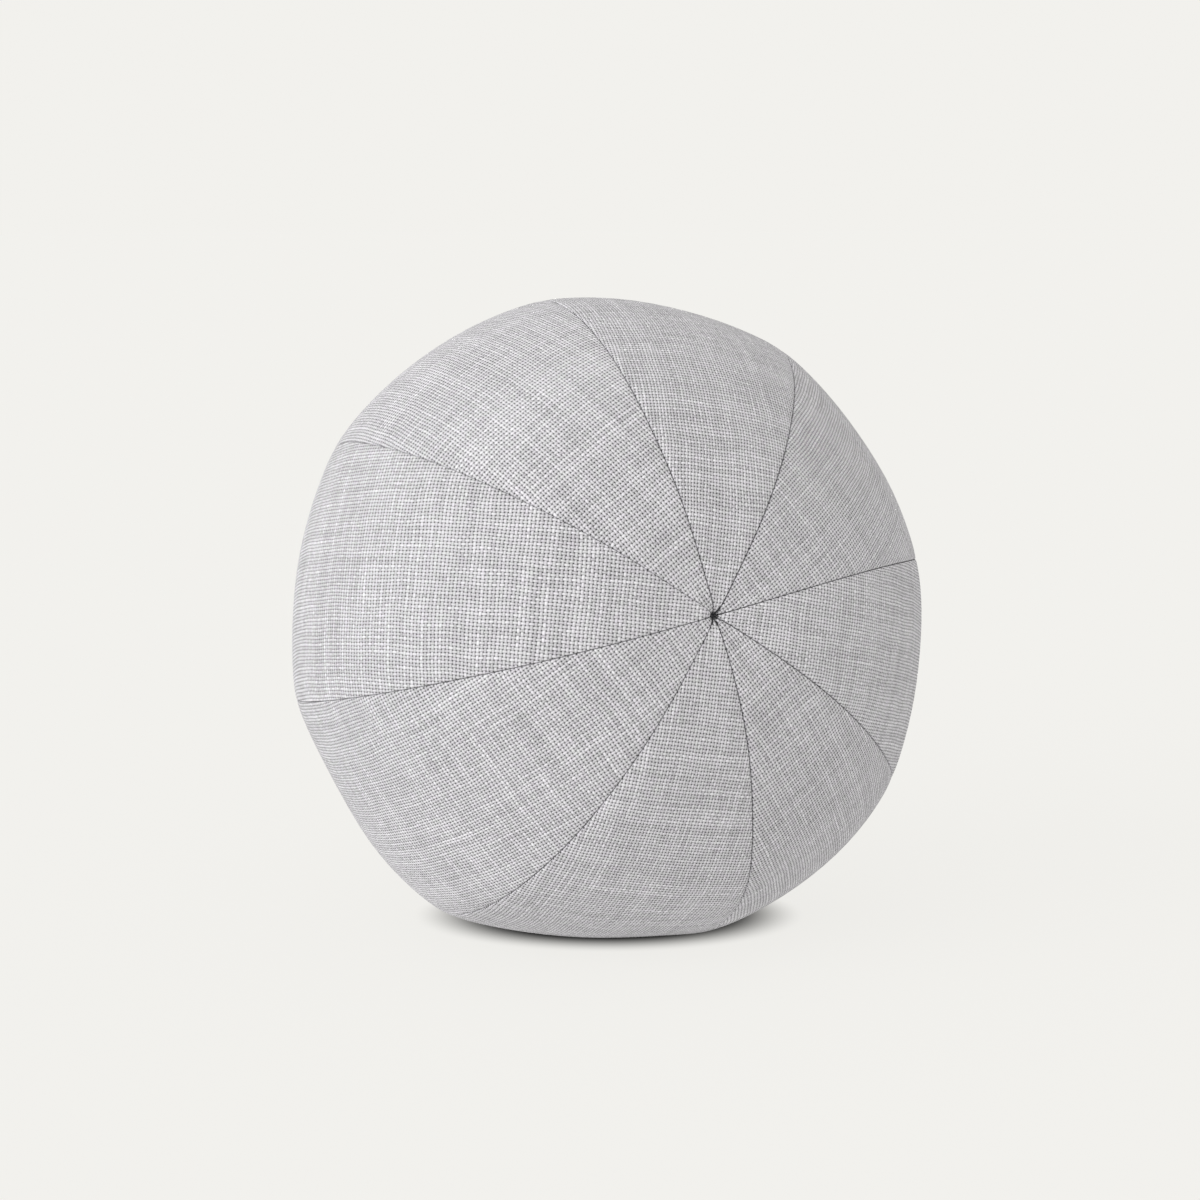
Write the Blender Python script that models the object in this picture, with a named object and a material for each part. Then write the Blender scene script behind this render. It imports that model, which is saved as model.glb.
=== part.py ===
"""Ball cushion: eight filled gore panels sewn pole to pole, resting on a small flat spot.

The ball is a little flattened from pole to pole. Its front pole looks towards -Y and is tipped up.
Lengths are in metres, angles in degrees, and the floor is at z = 0 under the ball's middle.
"""
import math

import bmesh
import bpy
from mathutils import Vector

# The stuffed ball
SEAM_RADIUS = 0.153      # widest radius, measured at a seam
POLE_RATIO = 0.88        # pole half length over the widest radius
ROUNDNESS = 1.88         # exponent of the pole to pole outline, where 2 is an ellipse
DIMPLE_DEPTH = 0.009     # broad dip of the cloth around each pole
DIMPLE_RADIUS = 0.046
PINCH_DEPTH = 0.007      # narrow funnel where the panel points are drawn in
PINCH_RADIUS = 0.0025

# How it lies
POLE_TILT = 9.0          # the front pole's height over the level
CENTRE_HEIGHT = 0.143    # the ball's middle over the floor
FLOOR_EASE = 0.004       # height over which the cloth rounds into its flat spot
BULGE = 0.11             # share by which the ball spreads just over the floor
BULGE_HEIGHT = -0.124    # from the ball's middle
BULGE_SPAN = 0.046

# The sewn seams
SEAM_GAP = 0.0003        # between neighbouring panels
GROOVE_DEPTH = 0.0022    # how far a panel's edge turns in
GROOVE_WIDTH = 0.0026

# A row for each panel: where its first seam runs round the pole axis, close to the poles and at the
# ball's widest ring, and how flat the cloth is between its seams (0 is round, 1 is a straight chord)
PANEL_COLUMNS = ("seam_at_poles", "seam_at_middle", "flatness")
PANEL_TABLE = (
    (12.4, 7.8, 0.28),
    (58.3, 55.9, 0.20),
    (103.7, 100.2, 0.11),
    (145.0, 145.0, 0.29),
    (191.3, 190.9, 0.50),
    (237.4, 238.3, 0.20),
    (284.3, 279.4, 0.44),
    (325.8, 325.1, 0.06),
)

# The closing stitches in each pole's pit
STITCH_RADIUS = 0.0019
STITCH_HEIGHT = 0.0024
STITCH_SINK = 0.0025     # under the cloth that the dimple leaves

# How finely the panels are divided
TIP_RADII = (0.0006, 0.0016, 0.0032, 0.006, 0.011, 0.019)
RING_STEPS = 13          # from the last tip radius to the widest ring
EDGE_SHARES = (0.0, 0.02, 0.07, 0.2, 0.4, 0.7)
CORE_OFFSET = 0.0012     # each panel's inner point from the ball's middle

HALF_PANEL = math.pi / len(PANEL_TABLE)

# Light grey melange cloth and near-black thread
CLOTH_COLOUR = (0.50, 0.49, 0.50, 1.0)
CLOTH_ROUGHNESS = 0.92
THREAD_COLOUR = (0.02, 0.02, 0.022, 1.0)
THREAD_ROUGHNESS = 0.7


def clear_scene():
    """Remove what the scene holds at the start."""
    for item in list(bpy.data.objects):
        bpy.data.objects.remove(item)


def make_material(name, colour, roughness):
    """One plain material with no metal in it."""
    material = bpy.data.materials.new(name)
    material.use_nodes = True
    shader = material.node_tree.nodes["Principled BSDF"]
    shader.inputs["Base Color"].default_value = colour
    shader.inputs["Roughness"].default_value = roughness
    shader.inputs["Metallic"].default_value = 0.0
    return material


def panel_row(number):
    """The table's row for a panel, by column name."""
    return dict(zip(PANEL_COLUMNS, PANEL_TABLE[number % len(PANEL_TABLE)]))


def seam_angle(number, polar):
    """Where seam number runs round the pole axis, in radians, at a polar angle."""
    row = panel_row(number)
    lap = 2.0 * math.pi * (number // len(PANEL_TABLE))
    share = math.sin(polar) ** 2
    degrees = row["seam_at_poles"] * (1.0 - share) + row["seam_at_middle"] * share
    return math.radians(degrees) + lap


def meridian(polar):
    """Distance from the pole axis and place along it, on the ball's pole to pole outline."""
    out = math.sin(polar)
    along = math.cos(polar)
    reach = (out ** ROUNDNESS + abs(along / POLE_RATIO) ** ROUNDNESS) ** (-1.0 / ROUNDNESS)
    radius = SEAM_RADIUS * reach * out
    dimple = DIMPLE_DEPTH * math.exp(-(radius / DIMPLE_RADIUS) ** 2)
    pinch = PINCH_DEPTH * math.exp(-radius / PINCH_RADIUS)
    return radius, SEAM_RADIUS * reach * along - math.copysign(dimple + pinch, along)


def tilted(radius, angle, along):
    """A point of the tilted ball, measured from its middle."""
    tilt = math.radians(POLE_TILT)
    side = radius * math.cos(angle)
    up = radius * math.sin(angle)
    return Vector((side,
                   up * math.sin(tilt) - along * math.cos(tilt),
                   up * math.cos(tilt) + along * math.sin(tilt)))


def settled(point):
    """The point once the ball has sagged onto the floor, measured from the floor."""
    spread = 1.0 + BULGE * math.exp(-((point.z - BULGE_HEIGHT) / BULGE_SPAN) ** 2)
    height = point.z + CENTRE_HEIGHT
    if height < -FLOOR_EASE:
        height = 0.0
    elif height < FLOOR_EASE:
        height = (height + FLOOR_EASE) ** 2 / (4.0 * FLOOR_EASE)
    return Vector((point.x * spread, point.y * spread, height))


def panel_point(number, across, polar):
    """A point on a panel's face: across runs from -1 at its first seam to 1 at its second."""
    radius, along = meridian(polar)
    inset = 0.5 * SEAM_GAP / radius
    first = seam_angle(number, polar) + inset
    second = seam_angle(number + 1, polar) - inset
    angle = first + (second - first) * (across + 1.0) / 2.0
    chord = math.cos(HALF_PANEL) / math.cos(HALF_PANEL * across)
    flat = panel_row(number)["flatness"] * (1.0 - chord) * radius / SEAM_RADIUS
    from_seam = (1.0 - abs(across)) * HALF_PANEL * radius
    turned_in = GROOVE_DEPTH * math.exp(-from_seam / GROOVE_WIDTH) * min(1.0, radius / DIMPLE_RADIUS)
    point = tilted(radius * (1.0 - flat), angle, along)
    return settled(point * (1.0 - turned_in / point.length))


def polar_steps():
    """Polar angles of the rows across a panel, from the front pole's pit to the back one's."""
    pole_reach = SEAM_RADIUS * POLE_RATIO
    tips = [math.asin(radius / pole_reach) for radius in TIP_RADII]
    last = tips[-1]
    rings = [last + (math.pi / 2.0 - last) * step / RING_STEPS for step in range(1, RING_STEPS + 1)]
    front = tips + rings
    back = [math.pi - polar for polar in reversed(front[:-1])]
    return front + back


def across_steps():
    """Places of the columns along a panel, closer together at its two seams."""
    first = [share - 1.0 for share in EDGE_SHARES]
    second = [-share for share in reversed(first)]
    return first + [0.0] + second


def core_point(number):
    """The inner point of a panel's filling, a little to its own side of the ball's middle."""
    middle = 0.5 * (seam_angle(number, math.pi / 2.0) + seam_angle(number + 1, math.pi / 2.0))
    return tilted(CORE_OFFSET, middle, 0.0) + Vector((0.0, 0.0, CENTRE_HEIGHT))


def make_panel(number, collection, material):
    """A panel with its filling: a grid laid over the ball, its rim drawn in to the core."""
    across = across_steps()
    polar = polar_steps()
    columns = len(across) - 1
    rows = len(polar) - 1
    bm = bmesh.new()
    bmesh.ops.create_grid(bm, x_segments=columns, y_segments=rows, size=1.0)
    for vert in bm.verts:
        column = round((vert.co.x + 1.0) / 2.0 * columns)
        row = round((vert.co.y + 1.0) / 2.0 * rows)
        vert.co = panel_point(number, across[column], polar[row])
    rim = [edge for edge in bm.edges if edge.is_boundary]
    drawn = bmesh.ops.extrude_edge_only(bm, edges=rim)["geom"]
    inner = [item for item in drawn if isinstance(item, bmesh.types.BMVert)]
    bmesh.ops.pointmerge(bm, verts=inner, merge_co=core_point(number))
    bmesh.ops.recalc_face_normals(bm, faces=bm.faces)
    add_object("panel_%d" % (number + 1), bm, collection, material)


def make_closing_stitch(name, polar, collection, material):
    """The small bundle of stitches that closes a pole, sunk in its pit."""
    bm = bmesh.new()
    bmesh.ops.create_uvsphere(bm, u_segments=16, v_segments=8, radius=STITCH_RADIUS)
    bmesh.ops.scale(bm, verts=bm.verts, vec=(1.0, 1.0, 0.5 * STITCH_HEIGHT / STITCH_RADIUS))
    stitch = add_object(name, bm, collection, material)
    reach = SEAM_RADIUS * POLE_RATIO - DIMPLE_DEPTH - STITCH_SINK
    place = tilted(0.0, 0.0, math.copysign(reach, math.cos(polar)))
    stitch.rotation_euler = (math.radians(90.0 - POLE_TILT), 0.0, 0.0)
    stitch.location = place + Vector((0.0, 0.0, CENTRE_HEIGHT))


def add_object(name, bm, collection, material):
    """Turn a finished bmesh into a smooth-shaded object."""
    mesh = bpy.data.meshes.new(name)
    bm.to_mesh(mesh)
    bm.free()
    mesh.materials.append(material)
    mesh.shade_smooth()
    mesh.set_sharp_from_angle(angle=math.radians(50.0))
    item = bpy.data.objects.new(name, mesh)
    collection.objects.link(item)
    return item


def build():
    """Make the whole cushion."""
    clear_scene()
    collection = bpy.data.collections.new("ball_cushion")
    bpy.context.scene.collection.children.link(collection)
    cloth = make_material("grey_melange_cloth", CLOTH_COLOUR, CLOTH_ROUGHNESS)
    thread = make_material("dark_thread", THREAD_COLOUR, THREAD_ROUGHNESS)
    for number in range(len(PANEL_TABLE)):
        make_panel(number, collection, cloth)
    make_closing_stitch("closing_stitch_front", 0.0, collection, thread)
    make_closing_stitch("closing_stitch_back", math.pi, collection, thread)


build()
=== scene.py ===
"""Looks of the ball cushion: eight gore panels in grey melange weave, their seams and closing thread."""
import math

import bmesh
import bpy
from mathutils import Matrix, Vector, noise


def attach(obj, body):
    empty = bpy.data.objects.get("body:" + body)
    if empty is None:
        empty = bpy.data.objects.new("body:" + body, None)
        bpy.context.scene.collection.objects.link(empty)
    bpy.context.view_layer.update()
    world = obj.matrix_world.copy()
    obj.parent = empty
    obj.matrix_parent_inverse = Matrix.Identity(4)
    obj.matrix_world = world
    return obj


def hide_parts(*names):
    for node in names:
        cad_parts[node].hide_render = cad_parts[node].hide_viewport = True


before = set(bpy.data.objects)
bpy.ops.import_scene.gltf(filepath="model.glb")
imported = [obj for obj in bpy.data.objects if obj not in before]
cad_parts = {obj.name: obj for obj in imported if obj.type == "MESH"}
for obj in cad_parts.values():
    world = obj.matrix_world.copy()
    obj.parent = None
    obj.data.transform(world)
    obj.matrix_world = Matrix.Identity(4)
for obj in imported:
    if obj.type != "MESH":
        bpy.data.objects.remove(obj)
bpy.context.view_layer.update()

# The stuffed ball, in metres and degrees
SEAM_RADIUS = 0.153
POLE_RATIO = 0.88
ROUNDNESS = 1.88
DIMPLE_DEPTH = 0.009
DIMPLE_RADIUS = 0.046
PINCH_DEPTH = 0.007
PINCH_RADIUS = 0.0025
POLE_TILT = 9.0
CENTRE_HEIGHT = 0.143
FLOOR_EASE = 0.004
BULGE = 0.11
BULGE_HEIGHT = -0.124
BULGE_SPAN = 0.046
CORE_OFFSET = 0.0012

# A row for each panel and its first seam: the seam's angle close to the poles and at the widest ring,
# how far it swirls in the pole's pit, its open gap in millimetres, how flat the cloth is between its
# seams, how far its weave is stretched, and how far the grain is turned from the panel's middle line
PANEL_COLUMNS = ("seam_at_poles", "seam_at_middle", "swirl", "gap", "flatness", "stretch", "grain_turn")
PANEL_TABLE = (
    (12.4, 7.8, 0.0, 0.27, 0.28, 0.97, 3.0),
    (58.3, 55.9, -9.0, 0.43, 0.20, 0.98, 1.5),
    (103.7, 100.2, -6.0, 0.37, 0.11, 1.05, 2.0),
    (145.0, 145.0, -11.0, 0.12, 0.29, 1.06, 3.0),
    (191.3, 190.9, 0.0, 0.21, 0.50, 1.01, 0.5),
    (237.4, 238.3, 4.0, 0.27, 0.33, 0.99, 1.0),
    (284.3, 279.4, -5.0, 0.39, 0.28, 0.99, 3.0),
    (325.8, 325.1, -2.0, 0.33, 0.06, 0.99, 2.0),
)
SWIRL_RADIUS = 0.0055
HALF_MILLIMETRE = 0.0005
PIT_OPENING = 1.3            # how much wider the seams' gaps are in the poles' pits
PIT_REACH = 0.006
PANELS = len(PANEL_TABLE)
HALF_PANEL = math.pi / PANELS

# How the cloth turns into its seams
SOFT_DEPTH = 0.0004
SOFT_WIDTH = 0.0016
FOLD_DEPTH = 0.0005
FOLD_WIDTH = 0.0004
FOLD_SHARPNESS = 2.2
FOLD_POLE_RADIUS = 0.006     # within which the fold grows shallower towards the pole

# Unevenness of the filling under the cloth
LUMP_HEIGHT = 0.0006
LUMP_SPAN = 0.045
PUCKER_HEIGHT = 0.00012
PUCKER_SPAN = 0.009
PUCKER_REACH = 0.006
PUCKER_SHIFT = 7.0           # from panel to panel, so that each has puckers of its own

# The swelling of the cover as it is stuffed, simulated on a coarser sheet
SHEET_COLUMNS = 14           # in a panel
SHEET_ROWS = 84
SHEET_POLE_ANGLE = 0.04      # in radians
LAST_CELL = 0.001            # keeps the sheet's last points within its last cells
HELD_RADIUS = 0.009
HELD_HEIGHT = 0.0006
SLACK = 0.0011               # how far the cloth lies in before the filling presses it out
FILLING_PRESSURE = 330.0
SHEET_MASS = 0.002
SWELLING_FRAMES = 20
SWELLING_CAP = 0.005

# How finely a panel is divided
EDGE_SHARES = (0.0, 0.0025, 0.006, 0.011, 0.018, 0.028, 0.042, 0.062, 0.09, 0.13,
               0.18, 0.25, 0.34, 0.45, 0.58, 0.72, 0.86)
TIP_RADII = (0.0003, 0.0008, 0.0014, 0.0021, 0.003, 0.0041, 0.0055, 0.0072, 0.0092, 0.0115, 0.014)
RING_STEPS = 88
SHARP_ANGLE = 60.0

# The weave: widths and straying are in yarn pitches, and heights in WEAVE_RELIEF
WARP_PITCH = 0.00148
WEFT_PITCH = 0.00171
GRAIN_SHIFT = (0.37, 0.53)   # in metres from panel to panel, so that no two show the same cloth
YARN_HALF_WIDTH = 0.41
YARN_THICKENING = 0.10       # how much more half width a pale yarn has than a grey one
YARN_ROUND = 0.64            # height of a yarn half way between over and under
YARN_CRIMP = 0.36            # how far it rises and sinks from there
WANDER = 1.3                 # straying over long stretches
WANDER_SCALE = 40.0
WAVER = 0.28                 # straying over short ones
WAVER_SCALE = 420.0
NOISE_ROUGHNESS = 0.55
WARP_SEED = 11.3
WEFT_SEED = 47.9
FLECK_SEED = 5.0
YARN_APART = 3.17            # step through the noise from yarn to yarn
WARP_CHANGE = 0.22           # how far the yarns differ in tone
WEFT_CHANGE = 0.32
STREAK_CHANGE = 0.72         # slow change of tone along a yarn
STREAK_SCALE = 0.055
FLECK_CHANGE = 0.55          # quick change of tone along a yarn
FLECK_SCALE = 0.45
CROSSING_CHANGE = 0.06       # change of tone from crossing to crossing
TINT_SCALE = 240.0
PALE_YARN_COOL = (0.905, 0.855, 0.96, 1.0)
PALE_YARN_WARM = (0.858, 0.892, 0.878, 1.0)
GREY_YARN_COOL = (0.442, 0.41, 0.468, 1.0)
GREY_YARN_WARM = (0.418, 0.437, 0.426, 1.0)
# painted shade: the near-black colour the yarns turn to in the weave's holes and low places
PAINTED_HOLE_SHADE = (0.02, 0.0195, 0.0215, 1.0)
LIT_RISE = 0.81              # height from which a yarn shows its full colour; below it the colour is painted darker, as shade
WEAVE_RELIEF = 0.00065       # in metres
CLOTH_ROUGHNESS = 0.92
CLOTH_SPECULAR = 0.15
CLOTH_SHEEN = 0.12
SHEEN_ROUGHNESS = 0.5

# The sewing thread
DARK_THREAD = (0.018, 0.018, 0.02, 1.0)
GREY_THREAD = (0.05, 0.05, 0.055, 1.0)
FIBRE_SCALE = 3500.0
FIBRE_RELIEF = 0.00008
THREAD_ROUGHNESS = 0.7
THREAD_SPECULAR = 0.2
BAR_SEGMENTS = 8
BAR_RINGS = 5

# The seam stitches, as short bars of thread across the seams
SEAM_BARS = {"Pitch": 0.0024, "Length": 0.0009, "Thickness": 0.0003, "Unevenness": 0.15, "Seed": 3}
SEAM_START = 0.004           # from the pole axis to where the stitches start
STITCH_SINK = 0.0001         # under the turned-in edge of the cloth

# The closing thread in the poles' pits: each ring's radius and its depth under the pit's mouth, and the
# headings of the tails round the pole
CLOSING_BARS = {"Pitch": 0.0011, "Length": 0.0023, "Thickness": 0.00042, "Unevenness": 0.45, "Seed": 5}
CLOSING_RINGS = ((0.0012, 0.0016), (0.0006, 0.0026))
CLOSING_STEPS = 24
PIT_MOUTH = 0.0042
CLOSING_TAILS = (57.0, 241.0, 279.0)
TAIL_RADIUS = 0.0031
TAIL_SPREAD = 0.05           # in radians
TAIL_STEP = 0.002            # in radians, to read the slope of the pit
TAIL_LIFT = 0.0001

# The studio
STUDIO_TONE = (0.887, 0.878, 0.847, 1.0)
KEY_STRENGTH = 2.12
KEY_SPREAD = 60.0
KEY_SIDE = -55.0             # round from the camera
KEY_HEIGHT = 11.0            # over the camera's level
FLOOR_SIZE = 40.0
FLOOR_GLOW = 0.91            # share of the floor's tone that is its own light
PAINTED_SHADOW_SIZE = (0.061, 0.043)   # half the painted shadow under the ball, across the view and along it
GLOW_START = 0.95            # in halves of the painted shadow, from its middle
GLOW_FULL = 1.55
PAINTED_SHADOW_PALENESS = 0.16            # how pale the floor's painted shadow is, within it

# The camera at the photograph's place
VIEW_AZIMUTH = -21.6
VIEW_ELEVATION = 8.5
VIEW_DISTANCE = 1.224
SENSOR_WIDTH = 36.0
FOCAL_LENGTH = 77.777
NEAR_LIMIT = 0.05
FAR_LIMIT = 200.0
AIM_LEFT = 0.00425           # from the ball's middle
AIM_UP = 0.0091


def panel_row(number):
    """The table's row for a panel, by column name."""
    return dict(zip(PANEL_COLUMNS, PANEL_TABLE[number % PANELS]))


def seam_angle(number, polar):
    """Where seam number runs round the pole axis, in radians, at a polar angle."""
    row = panel_row(number)
    lap = 2.0 * math.pi * (number // PANELS)
    share = math.sin(polar) ** 2
    degrees = row["seam_at_poles"] * (1.0 - share) + row["seam_at_middle"] * share
    degrees += row["swirl"] * math.exp(-meridian(polar)[0] / SWIRL_RADIUS)
    return math.radians(degrees) + lap


def meridian(polar):
    """Distance from the pole axis and place along it, on the ball's pole to pole outline."""
    out = math.sin(polar)
    along = math.cos(polar)
    reach = (out ** ROUNDNESS + abs(along / POLE_RATIO) ** ROUNDNESS) ** (-1.0 / ROUNDNESS)
    radius = SEAM_RADIUS * reach * out
    dimple = DIMPLE_DEPTH * math.exp(-(radius / DIMPLE_RADIUS) ** 2)
    pinch = PINCH_DEPTH * math.exp(-radius / PINCH_RADIUS)
    return radius, SEAM_RADIUS * reach * along - math.copysign(dimple + pinch, along)


def tilted(radius, angle, along):
    """A point of the tilted ball, measured from its middle."""
    tilt = math.radians(POLE_TILT)
    side = radius * math.cos(angle)
    up = radius * math.sin(angle)
    return Vector((side,
                   up * math.sin(tilt) - along * math.cos(tilt),
                   up * math.cos(tilt) + along * math.sin(tilt)))


def settled(point):
    """The point once the ball has sagged onto the floor, measured from the floor."""
    spread = 1.0 + BULGE * math.exp(-((point.z - BULGE_HEIGHT) / BULGE_SPAN) ** 2)
    height = point.z + CENTRE_HEIGHT
    if height < -FLOOR_EASE:
        height = 0.0
    elif height < FLOOR_EASE:
        height = (height + FLOOR_EASE) ** 2 / (4.0 * FLOOR_EASE)
    return Vector((point.x * spread, point.y * spread, height))


def turned_in(from_seam, radius):
    """How deep the cloth lies at a distance from its seam: a soft slope and a tight fold."""
    soft = SOFT_DEPTH * math.exp(-from_seam / SOFT_WIDTH) * min(1.0, radius / DIMPLE_RADIUS)
    fold = FOLD_DEPTH * max(0.0, 1.0 - from_seam / FOLD_WIDTH) ** FOLD_SHARPNESS
    return soft + fold * min(1.0, radius / FOLD_POLE_RADIUS)


def lumps(point, number, from_seam):
    """Slight unevenness of the filling, and faint puckers beside the seams."""
    broad = LUMP_HEIGHT * noise.noise(point / LUMP_SPAN)
    beside = math.exp(-from_seam / PUCKER_REACH)
    place = point / PUCKER_SPAN + Vector((PUCKER_SHIFT * number, 0.0, 0.0))
    return broad + PUCKER_HEIGHT * beside * noise.noise(place)


def panel_angles(number, polar):
    """The angles round the pole axis at which a panel starts and ends."""
    radius, _along = meridian(polar)
    opening = HALF_MILLIMETRE * (1.0 + PIT_OPENING * math.exp(-radius / PIT_REACH)) / radius
    before = opening * panel_row(number)["gap"]
    after = opening * panel_row(number + 1)["gap"]
    return seam_angle(number, polar) + before, seam_angle(number + 1, polar) - after


def slack_point(number, across, angle, polar):
    """A point of the cover before it is stuffed full, measured from the ball's middle."""
    radius, along = meridian(polar)
    chord = math.cos(HALF_PANEL) / math.cos(HALF_PANEL * across)
    flat = panel_row(number)["flatness"] * (1.0 - chord) * radius / SEAM_RADIUS
    point = tilted(radius * (1.0 - flat), angle, along)
    slack = SLACK * (1.0 - across * across) * min(1.0, radius / DIMPLE_RADIUS)
    return point * (1.0 - slack / point.length)


def make_sheet():
    """The whole cover as one coarse sheet, its panels joined at their seams."""
    columns = PANELS * SHEET_COLUMNS
    bm = bmesh.new()
    bmesh.ops.create_grid(bm, x_segments=columns, y_segments=SHEET_ROWS, size=1.0)
    place = bm.verts.layers.int.new("place")
    grid = {}
    for vert in bm.verts:
        column = round((vert.co.x + 1.0) / 2.0 * columns)
        row = round((vert.co.y + 1.0) / 2.0 * SHEET_ROWS)
        number, step = divmod(column, SHEET_COLUMNS)
        polar = sheet_polar(row)
        share = step / SHEET_COLUMNS
        angle = seam_angle(number, polar) * (1.0 - share) + seam_angle(number + 1, polar) * share
        vert.co = settled(slack_point(number, 2.0 * share - 1.0, angle, polar))
        vert[place] = (column % columns) * (SHEET_ROWS + 1) + row
        grid[column, row] = vert
    doubled = {grid[columns, row]: grid[0, row] for row in range(SHEET_ROWS + 1)}
    bmesh.ops.weld_verts(bm, targetmap=doubled)
    bmesh.ops.holes_fill(bm, edges=bm.edges, sides=0)
    bmesh.ops.recalc_face_normals(bm, faces=bm.faces)
    mesh = bpy.data.meshes.new("cover_sheet")
    bm.to_mesh(mesh)
    bm.free()
    return mesh


def sheet_polar(row):
    """The polar angle of a row of the sheet."""
    return SHEET_POLE_ANGLE + (math.pi - 2.0 * SHEET_POLE_ANGLE) * row / SHEET_ROWS


def stuffed():
    """How far each point of the sheet moves as the filling presses it out between its seams."""
    mesh = make_sheet()
    sheet = show(mesh)
    start = [vert.co.copy() for vert in mesh.vertices]
    places = [item.value for item in mesh.attributes["place"].data]
    held = sheet.vertex_groups.new(name="held")
    for index, (point, place) in enumerate(zip(start, places)):
        column, row = divmod(place, SHEET_ROWS + 1)
        at_pole = meridian(sheet_polar(row))[0] < HELD_RADIUS
        if column % SHEET_COLUMNS == 0 or at_pole or point.z < HELD_HEIGHT:
            held.add([index], 1.0, "REPLACE")
    cloth = sheet.modifiers.new("stuffing", "CLOTH")
    cloth.settings.vertex_group_mass = held.name
    cloth.settings.mass = SHEET_MASS
    cloth.settings.use_pressure = True
    cloth.settings.uniform_pressure_force = FILLING_PRESSURE
    cloth.settings.effector_weights.gravity = 0.0
    cloth.collision_settings.use_collision = False
    cloth.point_cache.frame_start = 1
    cloth.point_cache.frame_end = SWELLING_FRAMES
    for step in range(1, SWELLING_FRAMES + 1):
        bpy.context.scene.frame_set(step)
    evaluated = sheet.evaluated_get(bpy.context.evaluated_depsgraph_get())
    moves = {}
    for place, before, vert in zip(places, start, evaluated.data.vertices):
        move = vert.co - before
        if move.length > SWELLING_CAP:
            move = move * (SWELLING_CAP / move.length)
        moves[place] = move
    bpy.data.objects.remove(sheet)
    bpy.context.scene.frame_set(1)
    return moves


def spline_shares(share):
    """Shares of four neighbouring values in a smooth curve between the middle two."""
    square = share * share
    cube = square * share
    return (0.5 * (2.0 * square - share - cube),
            0.5 * (2.0 - 5.0 * square + 3.0 * cube),
            0.5 * (share + 4.0 * square - 3.0 * cube),
            0.5 * (cube - square))


def swelling(moves, number, across, polar):
    """The sheet's move at a point of a panel, smoothly between the sheet's own points."""
    along_sheet = (polar - sheet_polar(0)) / (sheet_polar(SHEET_ROWS) - sheet_polar(0)) * SHEET_ROWS
    along_sheet = max(0.0, min(SHEET_ROWS - LAST_CELL, along_sheet))
    over_sheet = min(SHEET_COLUMNS - LAST_CELL, (across + 1.0) / 2.0 * SHEET_COLUMNS)
    row, column = int(along_sheet), int(over_sheet)
    moved = Vector()
    for step, column_share in enumerate(spline_shares(over_sheet - column)):
        near = number * SHEET_COLUMNS + max(0, min(SHEET_COLUMNS, column + step - 1))
        start = near % (PANELS * SHEET_COLUMNS) * (SHEET_ROWS + 1)
        for jump, row_share in enumerate(spline_shares(along_sheet - row)):
            moved += moves[start + max(0, min(SHEET_ROWS, row + jump - 1))] * (column_share * row_share)
    return moved


def cloth_point(moves, number, across, polar):
    """A point on a panel's cloth: across runs from -1 at its first seam to 1 at its second."""
    radius, _along = meridian(polar)
    first, second = panel_angles(number, polar)
    angle = first + (second - first) * (across + 1.0) / 2.0
    from_seam = (1.0 - abs(across)) * HALF_PANEL * radius
    point = slack_point(number, across, angle, polar)
    depth = turned_in(from_seam, radius) - lumps(point, number, from_seam)
    full = settled(point * (1.0 - depth / point.length)) + swelling(moves, number, across, polar)
    full.z = max(0.0, full.z)
    return full


def polar_steps():
    """Polar angles of the rows across a panel, from the front pole's pit to the back one's."""
    pole_reach = SEAM_RADIUS * POLE_RATIO
    tips = [math.asin(radius / pole_reach) for radius in TIP_RADII]
    last = tips[-1]
    rings = [last + (math.pi / 2.0 - last) * step / RING_STEPS for step in range(1, RING_STEPS + 1)]
    front = tips + rings
    back = [math.pi - polar for polar in reversed(front[:-1])]
    return front + back


def across_steps():
    """Places of the columns along a panel, closer together at its two seams."""
    first = [share - 1.0 for share in EDGE_SHARES]
    second = [-share for share in reversed(first)]
    return first + [0.0] + second


def middle_angle(number):
    """Where a panel's middle line crosses the ball's widest ring, round the pole axis in radians."""
    return 0.5 * (seam_angle(number, math.pi / 2.0) + seam_angle(number + 1, math.pi / 2.0))


def core_point(number):
    """The inner point of a panel's filling, a little to its own side of the ball's middle."""
    return tilted(CORE_OFFSET, middle_angle(number), 0.0) + Vector((0.0, 0.0, CENTRE_HEIGHT))


def row_lengths(polar):
    """Length of cloth along the ball's outline from the widest ring to each row."""
    outline = [Vector(meridian(value)) for value in polar]
    lengths = [0.0]
    for before, after in zip(outline, outline[1:]):
        lengths.append(lengths[-1] + (after - before).length)
    half = lengths[len(lengths) // 2]
    return [length - half for length in lengths]


def weave_place(number, across, polar, row_length):
    """Where a point lies on the panel's flat cloth, in metres: across the grain and along it."""
    radius, along = meridian(polar)
    first, second = panel_angles(number, polar)
    angle = first + (second - first) * (across + 1.0) / 2.0 - middle_angle(number)
    reach = math.hypot(radius, along)
    side = radius * math.sin(angle)
    ahead = radius * math.cos(angle)
    bend = math.atan2(ahead, along) - math.atan2(radius, along)
    across_grain = reach * math.asin(max(-1.0, min(1.0, side / reach)))
    along_grain = row_length + reach * bend
    turn = math.radians(panel_row(number)["grain_turn"])
    stretch = panel_row(number)["stretch"]
    turned_across = across_grain * math.cos(turn) - along_grain * math.sin(turn)
    turned_along = across_grain * math.sin(turn) + along_grain * math.cos(turn)
    shift_across, shift_along = GRAIN_SHIFT
    return turned_across / stretch + shift_across * number, turned_along / stretch + shift_along * number


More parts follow.
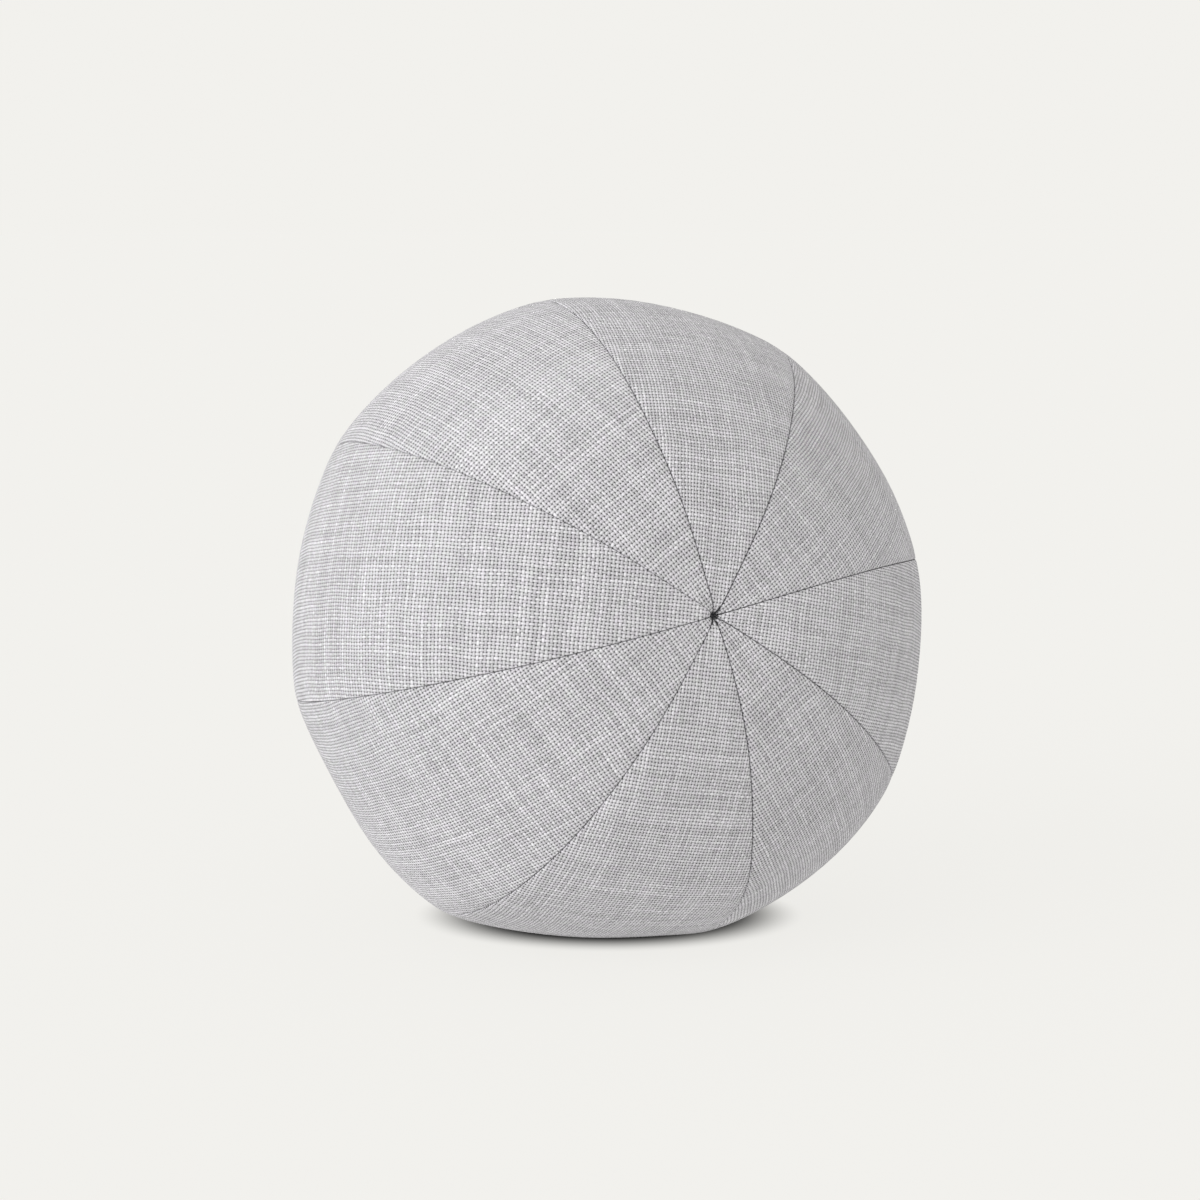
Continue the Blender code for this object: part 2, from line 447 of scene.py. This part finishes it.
def make_panel(number, moves, cloth):
    """A panel's cloth over its filling, as one closed form."""
    across = across_steps()
    polar = polar_steps()
    lengths = row_lengths(polar)
    columns = len(across) - 1
    rows = len(polar) - 1
    bm = bmesh.new()
    bmesh.ops.create_grid(bm, x_segments=columns, y_segments=rows, size=1.0)
    places = {}
    for vert in bm.verts:
        column = round((vert.co.x + 1.0) / 2.0 * columns)
        row = round((vert.co.y + 1.0) / 2.0 * rows)
        places[vert] = weave_place(number, across[column], polar[row], lengths[row])
        vert.co = cloth_point(moves, number, across[column], polar[row])
    rim = [edge for edge in bm.edges if edge.is_boundary]
    core = bm.verts.new(core_point(number))
    for edge in rim:
        bm.faces.new((*edge.verts, core))
    bm.normal_update()
    bmesh.ops.recalc_face_normals(bm, faces=bm.faces)
    layer = bm.loops.layers.uv.new("weave")
    for face in bm.faces:
        known = [places[vert] for vert in face.verts if vert in places]
        for loop in face.loops:
            loop[layer].uv = places.get(loop.vert, known[0])
    mesh = bpy.data.meshes.new("panel_%d_cloth" % (number + 1))
    bm.to_mesh(mesh)
    bm.free()
    mesh.materials.append(cloth)
    mesh.shade_smooth()
    mesh.set_sharp_from_angle(angle=math.radians(SHARP_ANGLE))
    piece = show(mesh)
    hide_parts("panel_%d" % (number + 1))
    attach(piece, "root")


def show(mesh):
    """Put a mesh into the scene under its own name."""
    piece = bpy.data.objects.new(mesh.name, mesh)
    bpy.context.scene.collection.objects.link(piece)
    return piece


def add_node(tree, kind, **settings):
    """A new node with its settings."""
    made = tree.nodes.new(kind)
    for name, value in settings.items():
        setattr(made, name, value)
    return made


def feed(tree, socket, source):
    """Join a socket to another one, or set its value."""
    if isinstance(source, bpy.types.NodeSocket):
        tree.links.new(source, socket)
    else:
        socket.default_value = source


def reckon(tree, operation, *values, clamp=False):
    """A number worked out from others."""
    made = add_node(tree, "ShaderNodeMath", operation=operation, use_clamp=clamp)
    for socket, source in zip(made.inputs, values):
        feed(tree, socket, source)
    return made.outputs[0]


def joined(tree, x, y, z=0.0):
    """A vector from three numbers."""
    made = add_node(tree, "ShaderNodeCombineXYZ")
    for socket, source in zip(made.inputs, (x, y, z)):
        feed(tree, socket, source)
    return made.outputs[0]


def cloudy(tree, place, scale, detail=1.0, output="Fac"):
    """Smooth noise at a place."""
    made = add_node(tree, "ShaderNodeTexNoise")
    feed(tree, made.inputs["Vector"], place)
    made.inputs["Scale"].default_value = scale
    made.inputs["Detail"].default_value = detail
    made.inputs["Roughness"].default_value = NOISE_ROUGHNESS
    return made.outputs[output]


def blended(tree, share, first, second):
    """A colour between two others."""
    made = add_node(tree, "ShaderNodeMix", data_type="RGBA")
    feed(tree, made.inputs["Factor"], share)
    colour_sockets = [socket for socket in made.inputs if socket.type == "RGBA"]
    feed(tree, colour_sockets[0], first)
    feed(tree, colour_sockets[1], second)
    return [socket for socket in made.outputs if socket.type == "RGBA"][0]


def new_material(name):
    """A new material, with its node tree and its shader."""
    material = bpy.data.materials.new(name)
    material.use_nodes = True
    tree = material.node_tree
    return material, tree, tree.nodes["Principled BSDF"]


def add_relief(tree, shader, height, distance):
    """Let a height show as relief on a shader's surface."""
    relief = add_node(tree, "ShaderNodeBump")
    relief.inputs["Distance"].default_value = distance
    feed(tree, relief.inputs["Height"], height)
    feed(tree, shader.inputs["Normal"], relief.outputs["Normal"])


def strayed(tree, counts, grain, amount, scale):
    """Yarn counts moved to and fro by smooth noise, so that the yarns don't run dead straight."""
    made = add_node(tree, "ShaderNodeVectorMath", operation="MULTIPLY_ADD")
    feed(tree, made.inputs[0], cloudy(tree, grain, scale, output="Color"))
    made.inputs[1].default_value = (amount, amount, 0.0)
    feed(tree, made.inputs[2], counts)
    return made.outputs[0]


def varied(tree, tone, chance, change, clamp=False):
    """A tone made darker or paler by a value from 0 to 1, of which a half changes nothing."""
    return reckon(tree, "MULTIPLY_ADD", reckon(tree, "SUBTRACT", chance, 0.5), change, tone, clamp=clamp)


def yarn_tone(tree, yarn, along, change, seed):
    """How pale a yarn is at a place along it, from 0 grey to 1 pale: change is how far yarns differ."""
    own = add_node(tree, "ShaderNodeTexWhiteNoise", noise_dimensions="1D")
    feed(tree, own.inputs["W"], reckon(tree, "ADD", yarn, seed))
    apart = reckon(tree, "MULTIPLY", yarn, YARN_APART)
    slow = reckon(tree, "MULTIPLY", along, STREAK_SCALE)
    quick = reckon(tree, "MULTIPLY", along, FLECK_SCALE)
    streak = cloudy(tree, joined(tree, apart, slow, seed), 1.0)
    fleck = cloudy(tree, joined(tree, apart, quick, seed + FLECK_SEED), 1.0)
    tone = reckon(tree, "MULTIPLY_ADD", own.outputs["Value"], change, 0.5 - 0.5 * change)
    tone = varied(tree, tone, streak, STREAK_CHANGE)
    return varied(tree, tone, fleck, FLECK_CHANGE, clamp=True)


def yarn_crest(tree, over, offset):
    """The warp's height at an offset from a crossing, from -1 under to 1 over. The weft's is the reverse."""
    wave = reckon(tree, "COSINE", reckon(tree, "MULTIPLY", offset, math.pi))
    return reckon(tree, "MULTIPLY", over, wave)


def yarn_rise(tree, offset, crest, tone):
    """Height of a yarn's surface, from its cross-section and its way over and under the others."""
    narrowest = YARN_HALF_WIDTH - 0.5 * YARN_THICKENING
    half_width = reckon(tree, "MULTIPLY_ADD", tone, YARN_THICKENING, narrowest)
    across = reckon(tree, "DIVIDE", offset, half_width)
    inside = reckon(tree, "SUBTRACT", 1.0, reckon(tree, "MULTIPLY", across, across), clamp=True)
    section = reckon(tree, "SQRT", inside)
    level = reckon(tree, "MULTIPLY_ADD", crest, YARN_CRIMP, YARN_ROUND)
    return reckon(tree, "MULTIPLY", section, level)


def make_weave_material():
    """Plain weave of pale and grey melange yarns, read from each panel's own grain, with painted shade
    darkening the yarns' low places and the holes between them.
    """
    material, tree, shader = new_material("grey_melange_weave")

    grain = add_node(tree, "ShaderNodeUVMap", uv_map="weave").outputs["UV"]
    counted = add_node(tree, "ShaderNodeVectorMath", operation="MULTIPLY")
    feed(tree, counted.inputs[0], grain)
    counted.inputs[1].default_value = (1.0 / WARP_PITCH, 1.0 / WEFT_PITCH, 0.0)
    wandering = strayed(tree, counted.outputs[0], grain, WANDER, WANDER_SCALE)
    wavering = strayed(tree, wandering, grain, WAVER, WAVER_SCALE)
    counts = add_node(tree, "ShaderNodeSeparateXYZ")
    feed(tree, counts.inputs[0], wavering)

    across, along = counts.outputs["X"], counts.outputs["Y"]
    warp = reckon(tree, "FLOOR", across)
    weft = reckon(tree, "FLOOR", along)
    warp_offset = reckon(tree, "SUBTRACT", reckon(tree, "FRACT", across), 0.5)
    weft_offset = reckon(tree, "SUBTRACT", reckon(tree, "FRACT", along), 0.5)
    odd = reckon(tree, "PINGPONG", reckon(tree, "ADD", warp, weft), 1.0)
    over = reckon(tree, "MULTIPLY_ADD", odd, -2.0, 1.0)
    warp_crest = yarn_crest(tree, over, weft_offset)
    weft_crest = reckon(tree, "MULTIPLY", yarn_crest(tree, over, warp_offset), -1.0)

    warp_tone = yarn_tone(tree, warp, along, WARP_CHANGE, WARP_SEED)
    weft_tone = yarn_tone(tree, weft, across, WEFT_CHANGE, WEFT_SEED)
    warp_rise = yarn_rise(tree, warp_offset, warp_crest, warp_tone)
    weft_rise = yarn_rise(tree, weft_offset, weft_crest, weft_tone)

    rise = reckon(tree, "MAXIMUM", warp_rise, weft_rise)
    warp_on_top = reckon(tree, "GREATER_THAN", warp_rise, weft_rise)
    warp_paler = reckon(tree, "SUBTRACT", warp_tone, weft_tone)
    tone = reckon(tree, "MULTIPLY_ADD", warp_on_top, warp_paler, weft_tone)
    crossing = add_node(tree, "ShaderNodeTexWhiteNoise", noise_dimensions="2D")
    feed(tree, crossing.inputs["Vector"], joined(tree, warp, weft))
    tone = varied(tree, tone, crossing.outputs["Value"], CROSSING_CHANGE, clamp=True)
    tint = cloudy(tree, grain, TINT_SCALE, detail=2.0)
    pale_yarn = blended(tree, tint, PALE_YARN_COOL, PALE_YARN_WARM)
    grey_yarn = blended(tree, tint, GREY_YARN_COOL, GREY_YARN_WARM)
    yarn_colour = blended(tree, tone, grey_yarn, pale_yarn)
    # Painted shade: the lower a yarn's surface lies, the more its colour turns to the hole shade, down to
    # that colour in the holes
    lit = add_node(tree, "ShaderNodeMapRange", interpolation_type="SMOOTHSTEP")
    feed(tree, lit.inputs["Value"], rise)
    lit.inputs["From Min"].default_value = 0.0
    lit.inputs["From Max"].default_value = LIT_RISE
    feed(tree, shader.inputs["Base Color"], blended(tree, lit.outputs["Result"], PAINTED_HOLE_SHADE, yarn_colour))

    add_relief(tree, shader, rise, WEAVE_RELIEF)
    shader.inputs["Roughness"].default_value = CLOTH_ROUGHNESS
    shader.inputs["Specular IOR Level"].default_value = CLOTH_SPECULAR
    shader.inputs["Sheen Weight"].default_value = CLOTH_SHEEN
    shader.inputs["Sheen Roughness"].default_value = SHEEN_ROUGHNESS
    return material


def make_thread_material():
    """Twisted near-black sewing thread."""
    material, tree, shader = new_material("dark_sewing_thread")
    place = add_node(tree, "ShaderNodeTexCoord").outputs["Object"]
    fibre = cloudy(tree, place, FIBRE_SCALE, detail=2.0)
    feed(tree, shader.inputs["Base Color"], blended(tree, fibre, DARK_THREAD, GREY_THREAD))
    add_relief(tree, shader, fibre, FIBRE_RELIEF)
    shader.inputs["Roughness"].default_value = THREAD_ROUGHNESS
    shader.inputs["Specular IOR Level"].default_value = THREAD_SPECULAR
    return material


def stitch_tree(name):
    """Geometry Nodes tree: small thread bars set across lines of points."""
    tree = bpy.data.node_groups.new(name, "GeometryNodeTree")
    tree.interface.new_socket("Geometry", in_out="INPUT", socket_type="NodeSocketGeometry")
    for label in ("Pitch", "Length", "Thickness", "Unevenness"):
        tree.interface.new_socket(label, in_out="INPUT", socket_type="NodeSocketFloat")
    tree.interface.new_socket("Seed", in_out="INPUT", socket_type="NodeSocketInt")
    tree.interface.new_socket("Thread", in_out="INPUT", socket_type="NodeSocketMaterial")
    tree.interface.new_socket("Geometry", in_out="OUTPUT", socket_type="NodeSocketGeometry")
    given = add_node(tree, "NodeGroupInput").outputs
    result = add_node(tree, "NodeGroupOutput")

    line = add_node(tree, "GeometryNodeMeshToCurve")
    feed(tree, line.inputs["Mesh"], given["Geometry"])
    spaced = add_node(tree, "GeometryNodeResampleCurve", mode="LENGTH")
    feed(tree, spaced.inputs["Curve"], line.outputs["Curve"])
    feed(tree, spaced.inputs["Length"], given["Pitch"])

    bar = add_node(tree, "GeometryNodeMeshUVSphere")
    bar.inputs["Segments"].default_value = BAR_SEGMENTS
    bar.inputs["Rings"].default_value = BAR_RINGS
    bar.inputs["Radius"].default_value = 0.5
    size = joined(tree, given["Thickness"], given["Length"], given["Thickness"])
    sized = add_node(tree, "GeometryNodeTransform")
    feed(tree, sized.inputs["Geometry"], bar.outputs["Mesh"])
    feed(tree, sized.inputs["Scale"], size)

    tangent = add_node(tree, "GeometryNodeInputTangent").outputs["Tangent"]
    outward = add_node(tree, "GeometryNodeInputNamedAttribute", data_type="FLOAT_VECTOR")
    outward.inputs["Name"].default_value = "outward"
    along = add_node(tree, "FunctionNodeAlignRotationToVector", axis="X")
    feed(tree, along.inputs["Vector"], tangent)
    facing = add_node(tree, "FunctionNodeAlignRotationToVector", axis="Z", pivot_axis="X")
    feed(tree, facing.inputs["Rotation"], along.outputs["Rotation"])
    feed(tree, facing.inputs["Vector"], outward.outputs["Attribute"])

    uneven = add_node(tree, "FunctionNodeRandomValue", data_type="FLOAT_VECTOR")
    low = reckon(tree, "SUBTRACT", 1.0, given["Unevenness"])
    high = reckon(tree, "ADD", 1.0, given["Unevenness"])
    vectors = [socket for socket in uneven.inputs if socket.type == "VECTOR"]
    feed(tree, vectors[0], joined(tree, low, low, low))
    feed(tree, vectors[1], joined(tree, high, high, high))
    feed(tree, uneven.inputs["Seed"], given["Seed"])
    drawn = [socket for socket in uneven.outputs if socket.type == "VECTOR"][0]

    placed = add_node(tree, "GeometryNodeInstanceOnPoints")
    feed(tree, placed.inputs["Points"], spaced.outputs["Curve"])
    feed(tree, placed.inputs["Instance"], sized.outputs["Geometry"])
    feed(tree, placed.inputs["Rotation"], facing.outputs["Rotation"])
    feed(tree, placed.inputs["Scale"], drawn)
    real = add_node(tree, "GeometryNodeRealizeInstances")
    feed(tree, real.inputs["Geometry"], placed.outputs["Instances"])
    smooth = add_node(tree, "GeometryNodeSetShadeSmooth")
    feed(tree, smooth.inputs["Geometry"], real.outputs["Geometry"])
    dressed = add_node(tree, "GeometryNodeSetMaterial")
    feed(tree, dressed.inputs["Geometry"], smooth.outputs["Geometry"])
    feed(tree, dressed.inputs["Material"], given["Thread"])
    feed(tree, result.inputs["Geometry"], dressed.outputs["Geometry"])
    return tree


def sewn(name, lines, tree, sizes, thread):
    """Bars of thread along lines of points and outward directions, as one plain mesh."""
    points = []
    outward = []
    edges = []
    for line in lines:
        start = len(points)
        points.extend(point for point, _out in line)
        outward.extend(component for _point, out in line for component in out)
        edges.extend((start + step, start + step + 1) for step in range(len(line) - 1))
    guide = bpy.data.meshes.new(name + "_guide")
    guide.from_pydata(points, edges, [])
    guide.attributes.new("outward", "FLOAT_VECTOR", "POINT").data.foreach_set("vector", outward)
    holder = show(guide)
    stitched = holder.modifiers.new("stitches", "NODES")
    stitched.node_group = tree
    for socket in tree.interface.items_tree:
        if socket.in_out == "INPUT" and socket.name in sizes:
            stitched[socket.identifier] = sizes[socket.name]
        if socket.in_out == "INPUT" and socket.name == "Thread":
            stitched[socket.identifier] = thread
    evaluated = holder.evaluated_get(bpy.context.evaluated_depsgraph_get())
    mesh = bpy.data.meshes.new_from_object(evaluated)
    mesh.name = name
    for vert in mesh.vertices:
        vert.co.z = max(0.0, vert.co.z)
    holder.modifiers.remove(stitched)
    bpy.data.objects.remove(holder)
    piece = show(mesh)
    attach(piece, "root")
    return piece


def seam_line(number):
    """Points along a seam, deep between its two panels, with the outward direction at each."""
    line = []
    for polar in polar_steps():
        radius, along = meridian(polar)
        if radius < SEAM_START:
            continue
        point = tilted(radius, seam_angle(number, polar), along)
        depth = turned_in(0.0, radius) + STITCH_SINK
        out = point.normalized()
        line.append((settled(point - out * depth), out))
    return line


def pit_polar(radius, side):
    """The polar angle at a radius in the front pole's pit, or in the back one's."""
    polar = math.asin(radius / (SEAM_RADIUS * POLE_RATIO))
    return polar if side > 0.0 else math.pi - polar


def tail_place(heading, side):
    """A place for a tail of thread on the slope of a pole's pit, with the outward direction there."""
    polar = pit_polar(TAIL_RADIUS, side)
    radius, along = meridian(polar)
    point = tilted(radius, heading, along)
    radius, along = meridian(polar + TAIL_STEP)
    slope = tilted(radius, heading, along) - point
    out = slope.cross(tilted(1.0, heading + math.pi / 2.0, 0.0)).normalized()
    if out.dot(point) < 0.0:
        out.negate()
    return settled(point + out * TAIL_LIFT), out


def closing_lines(side):
    """Two small rings round a pole, over which the closing thread is drawn in spokes, and its tails."""
    lines = []
    _radius, mouth = meridian(pit_polar(PIT_MOUTH, 1.0))
    for ring, sink in CLOSING_RINGS:
        turns = [2.0 * math.pi * step / CLOSING_STEPS for step in range(CLOSING_STEPS + 1)]
        lines.append([(settled(tilted(ring, turn, side * (mouth - sink))), tilted(0.0, 0.0, side))
                      for turn in turns])
    for degrees in CLOSING_TAILS:
        heading = math.radians(degrees)
        lines.append([tail_place(heading - TAIL_SPREAD, side), tail_place(heading + TAIL_SPREAD, side)])
    return lines


def make_floor():
    """A wide pale floor in the studio's own tone, glowing with its own light except close round the ball,
    where its glow and colour fade into a painted shadow.
    """
    mesh = bpy.data.meshes.new("studio_floor")
    bm = bmesh.new()
    bmesh.ops.create_grid(bm, x_segments=1, y_segments=1, size=FLOOR_SIZE)
    bm.to_mesh(mesh)
    bm.free()
    material, tree, shader = new_material("pale_floor")
    place = add_node(tree, "ShaderNodeTexCoord").outputs["Object"]
    from_ball = add_node(tree, "ShaderNodeMapping", vector_type="TEXTURE")
    feed(tree, from_ball.inputs["Vector"], place)
    from_ball.inputs["Rotation"].default_value = (0.0, 0.0, math.radians(VIEW_AZIMUTH))
    from_ball.inputs["Scale"].default_value = (*PAINTED_SHADOW_SIZE, 1.0)
    away = add_node(tree, "ShaderNodeVectorMath", operation="LENGTH")
    feed(tree, away.inputs[0], from_ball.outputs["Vector"])
    # Painted shadow: the floor's glow and colour fade to darker within an oval round the ball, turned to the
    # view
    glow = add_node(tree, "ShaderNodeMapRange", interpolation_type="SMOOTHSTEP")
    feed(tree, glow.inputs["Value"], away.outputs["Value"])
    glow.inputs["From Min"].default_value = GLOW_START
    glow.inputs["From Max"].default_value = GLOW_FULL
    key_share = KEY_STRENGTH * key_direction().z / (math.pi * STUDIO_TONE[0])
    pale = 1.0 / (1.0 + key_share)
    near = PAINTED_SHADOW_PALENESS * pale
    far = (1.0 - FLOOR_GLOW) * pale
    feed(tree, shader.inputs["Base Color"],
         blended(tree, glow.outputs["Result"], (near, near, near, 1.0), (far, far, far, 1.0)))
    shader.inputs["Roughness"].default_value = 1.0
    shader.inputs["Specular IOR Level"].default_value = 0.0
    shader.inputs["Emission Color"].default_value = STUDIO_TONE
    feed(tree, shader.inputs["Emission Strength"],
         reckon(tree, "MULTIPLY", glow.outputs["Result"], FLOOR_GLOW))
    mesh.materials.append(material)
    show(mesh)


def view_axes():
    """The camera's right, up and back directions."""
    azimuth = math.radians(VIEW_AZIMUTH)
    elevation = math.radians(VIEW_ELEVATION)
    right = Vector((math.cos(azimuth), math.sin(azimuth), 0.0))
    back = Vector((math.sin(azimuth) * math.cos(elevation),
                   -math.cos(azimuth) * math.cos(elevation),
                   math.sin(elevation)))
    return right, back.cross(right), back


def key_direction():
    """Towards the key light: from the left, above and a little in front."""
    right, up, back = view_axes()
    side = math.radians(KEY_SIDE)
    height = math.radians(KEY_HEIGHT)
    level = right * math.sin(side) + back * math.cos(side)
    return level * math.cos(height) + up * math.sin(height)


def make_studio():
    """Even light from all round, and a soft key light from the left."""
    world = bpy.data.worlds.new("studio")
    world.use_nodes = True
    world.node_tree.nodes["Background"].inputs["Color"].default_value = STUDIO_TONE
    bpy.context.scene.world = world
    bpy.context.scene.view_settings.view_transform = "Standard"
    key = bpy.data.lights.new("key_light", "SUN")
    key.energy = KEY_STRENGTH
    key.angle = math.radians(KEY_SPREAD)
    lamp = bpy.data.objects.new("key_light", key)
    lamp.rotation_euler = key_direction().to_track_quat("Z", "Y").to_euler()
    bpy.context.scene.collection.objects.link(lamp)


def make_camera():
    """The camera at the photograph's place."""
    right, up, back = view_axes()
    lens = bpy.data.cameras.new("camera")
    lens.sensor_width = SENSOR_WIDTH
    lens.lens = FOCAL_LENGTH
    lens.clip_start = NEAR_LIMIT
    lens.clip_end = FAR_LIMIT
    aim = Vector((0.0, 0.0, CENTRE_HEIGHT)) - right * AIM_LEFT + up * AIM_UP
    camera = bpy.data.objects.new("camera", lens)
    camera.location = aim + back * VIEW_DISTANCE
    camera.rotation_euler = back.to_track_quat("Z", "Y").to_euler()
    bpy.context.scene.collection.objects.link(camera)
    bpy.context.scene.camera = camera


def dress():
    """Make every piece of the cushion and its studio."""
    cloth = make_weave_material()
    thread = make_thread_material()
    moves = stuffed()
    for number in range(PANELS):
        make_panel(number, moves, cloth)
    tree = stitch_tree("thread_bars")
    sewn("seam_stitches", [seam_line(number) for number in range(PANELS)], tree, SEAM_BARS, thread)
    for name, side in (("front", 1.0), ("back", -1.0)):
        piece = sewn("closing_thread_" + name, closing_lines(side), tree, CLOSING_BARS, thread)
        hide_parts("closing_stitch_" + name)
    make_floor()
    make_studio()
    make_camera()


dress()
